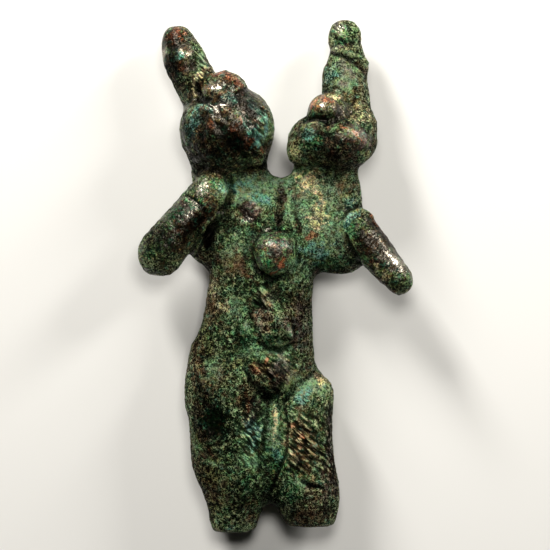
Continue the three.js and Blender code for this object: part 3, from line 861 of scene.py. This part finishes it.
def set_gloss(sheet, cloud, fine, smooth):
    """Matt in the crust's lows, glossier on its crests, and polished where the metal is smooth."""
    shine = sheet.attribute("shine")
    crusty = sheet.ramped(fine, *GLOSSY_GRAIN, *CRUST_ROUGHNESS)
    polish = sheet.ramped(sheet.math("MAXIMUM", smooth, shine), 0.0, 0.5)
    mirror = sheet.ramped(smooth, 0.2, 1.0, 0.0, 0.42)
    mirror = sheet.times(mirror, sheet.ramped(cloud, 0.2, 0.8, 0.6, 1.2))
    mirror = sheet.math("MAXIMUM", mirror, sheet.ramped(fine, *GLOSSY_GRAIN, 0.02, 0.60))
    # Less reflection where shade is painted.
    mirror = sheet.times(mirror, sheet.by_patch("painted_shade", 1.0, 0.25))
    inputs = sheet.shader.inputs
    sheet.set(inputs["Roughness"], sheet.mixed_value(polish, crusty, POLISHED_ROUGHNESS))
    sheet.set(inputs["IOR"], sheet.ramped(shine, 0.2, 1.0, 1.5, 2.1))
    sheet.set(inputs["Specular IOR Level"], sheet.math("MAXIMUM", mirror, shine))
    inputs["Specular Tint"].default_value = METAL_TINT


def set_bump(sheet, noises, fine, smooth):
    """Crust on the rough metal, and faint ripples and wrinkles on the smooth."""
    rough = sheet.plus(fine, sheet.times(noises["mottle"], 0.45))
    ripple = sheet.plus(sheet.times(noises["ripple"], 0.12), sheet.times(noises["wrinkle"], 0.075))
    ripple = sheet.times(ripple, sheet.ramped(sheet.attribute("shine"), 0.2, 1.0, 1.0, 0.6))
    bump = sheet.tree.nodes.new("ShaderNodeBump")
    bump.inputs["Strength"].default_value = 1.0
    bump.inputs["Distance"].default_value = BUMP_DEPTH
    sheet.set(bump.inputs["Height"], sheet.mixed_value(sheet.ramped(smooth, 0.0, 0.6), rough, ripple))
    sheet.set(sheet.shader.inputs["Normal"], bump.outputs["Normal"])


def patina_material():
    sheet = NodeSheet("patina")
    sheet.place = sheet.position()
    noises = {name: sheet.even(sheet.noise(*numbers)) for name, numbers in NOISES.items()}
    smooth = sheet.ramped(sheet.plus(sheet.attribute("smooth"), noises["mottle"]), 0.7, 1.4)
    fine = crust_grain(sheet, noises)
    level = surface_level(sheet, fine, smooth)
    hue = patina_hue(sheet, noises)
    colour = sheet.scaled(hue, shade_and_tone_factor(sheet, level, smooth))
    worn = wear_share(sheet, level, smooth, noises["cloud"])
    colour = sheet.mixed(worn, colour, fleck_colour(sheet, hue, noises["tint"]))
    sheet.set(sheet.shader.inputs["Base Color"], colour)
    set_gloss(sheet, noises["cloud"], fine, smooth)
    set_bump(sheet, noises, fine, smooth)
    return sheet.material


def floor_material():
    sheet = NodeSheet("pale_floor")
    sheet.shader.inputs["Base Color"].default_value = (0.70, 0.69, 0.67, 1)
    sheet.shader.inputs["Roughness"].default_value = 0.85
    return sheet.material


# Floor, lights and camera

FLOOR_REACH = 40 * HEIGHT
# The soft boxes: (place, width and height in heights of the figure, power in watts).
SOFT_BOXES = {
    "left_strip": ((-1.6, 3.2, 2.1), 0.8, 1.6, 1.36),
    "right_strip": ((2.6, 2.3, 1.6), 0.7, 1.8, 0.8),
    "overhead": ((0.2, 1.0, 4.2), 1.1, 1.1, 0.52),
}
LIGHT_COLOUR = (1, 0.98, 0.93)
LIGHTS_AIM = (0, 0, 0.1 * HEIGHT)
WORLD_STRENGTH = 0.01
CAMERA_DISTANCE = 9 * HEIGHT
CHEST_HEIGHT = 10 * MODULE
SENSOR_WIDTH = 36


def make_floor():
    mesh = bpy.data.meshes.new("floor")
    corners = [(x * FLOOR_REACH, y * FLOOR_REACH, 0) for x, y in ((-1, -1), (1, -1), (1, 1), (-1, 1))]
    mesh.from_pydata(corners, [], [(0, 1, 2, 3)])
    mesh.materials.append(floor_material())
    floor = bpy.data.objects.new("floor", mesh)
    bpy.context.scene.collection.objects.link(floor)


def aim(light, target):
    """Turns a light so that it looks at a point, with one of its edges level."""
    back = (light.location - Vector(target)).normalized()
    right = Vector((0, 0, 1)).cross(back).normalized()
    top = back.cross(right)
    light.rotation_euler = Matrix((right, top, back)).transposed().to_euler()


def soft_box(name, place, width, height, power):
    data = bpy.data.lights.new(name, "AREA")
    data.shape = "RECTANGLE"
    data.size = width * HEIGHT
    data.size_y = height * HEIGHT
    data.energy = power
    data.color = LIGHT_COLOUR
    light = bpy.data.objects.new(name, data)
    light.location = [part * HEIGHT for part in place]
    bpy.context.scene.collection.objects.link(light)
    aim(light, LIGHTS_AIM)


def make_lights():
    for name, numbers in SOFT_BOXES.items():
        soft_box(name, *numbers)
    world = bpy.data.worlds.new("studio")
    bpy.context.scene.world = world
    world.use_nodes = True
    world.node_tree.nodes["Background"].inputs["Color"].default_value = (1, 1, 1, 1)
    world.node_tree.nodes["Background"].inputs["Strength"].default_value = WORLD_STRENGTH
    bpy.context.scene.view_settings.view_transform = "Standard"


def make_camera():
    """Straight over the chest, far off, so that the photograph's pixels fall where they did."""
    data = bpy.data.cameras.new("camera")
    camera = bpy.data.objects.new("camera", data)
    bpy.context.scene.collection.objects.link(camera)
    camera.location = (0, 0, CHEST_HEIGHT + CAMERA_DISTANCE)
    camera.rotation_euler = (0, 0, 0)
    data.sensor_width = SENSOR_WIDTH
    data.lens = SENSOR_WIDTH * CAMERA_DISTANCE / (PHOTO_SIDE * PIXEL)
    data.clip_start = 0.01
    data.clip_end = 100
    bpy.context.scene.camera = camera


piece = statuette_piece(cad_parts["statuette"])
piece.data.materials.append(patina_material())
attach(piece, "root")
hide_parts("statuette")
make_floor()
make_lights()
make_camera()
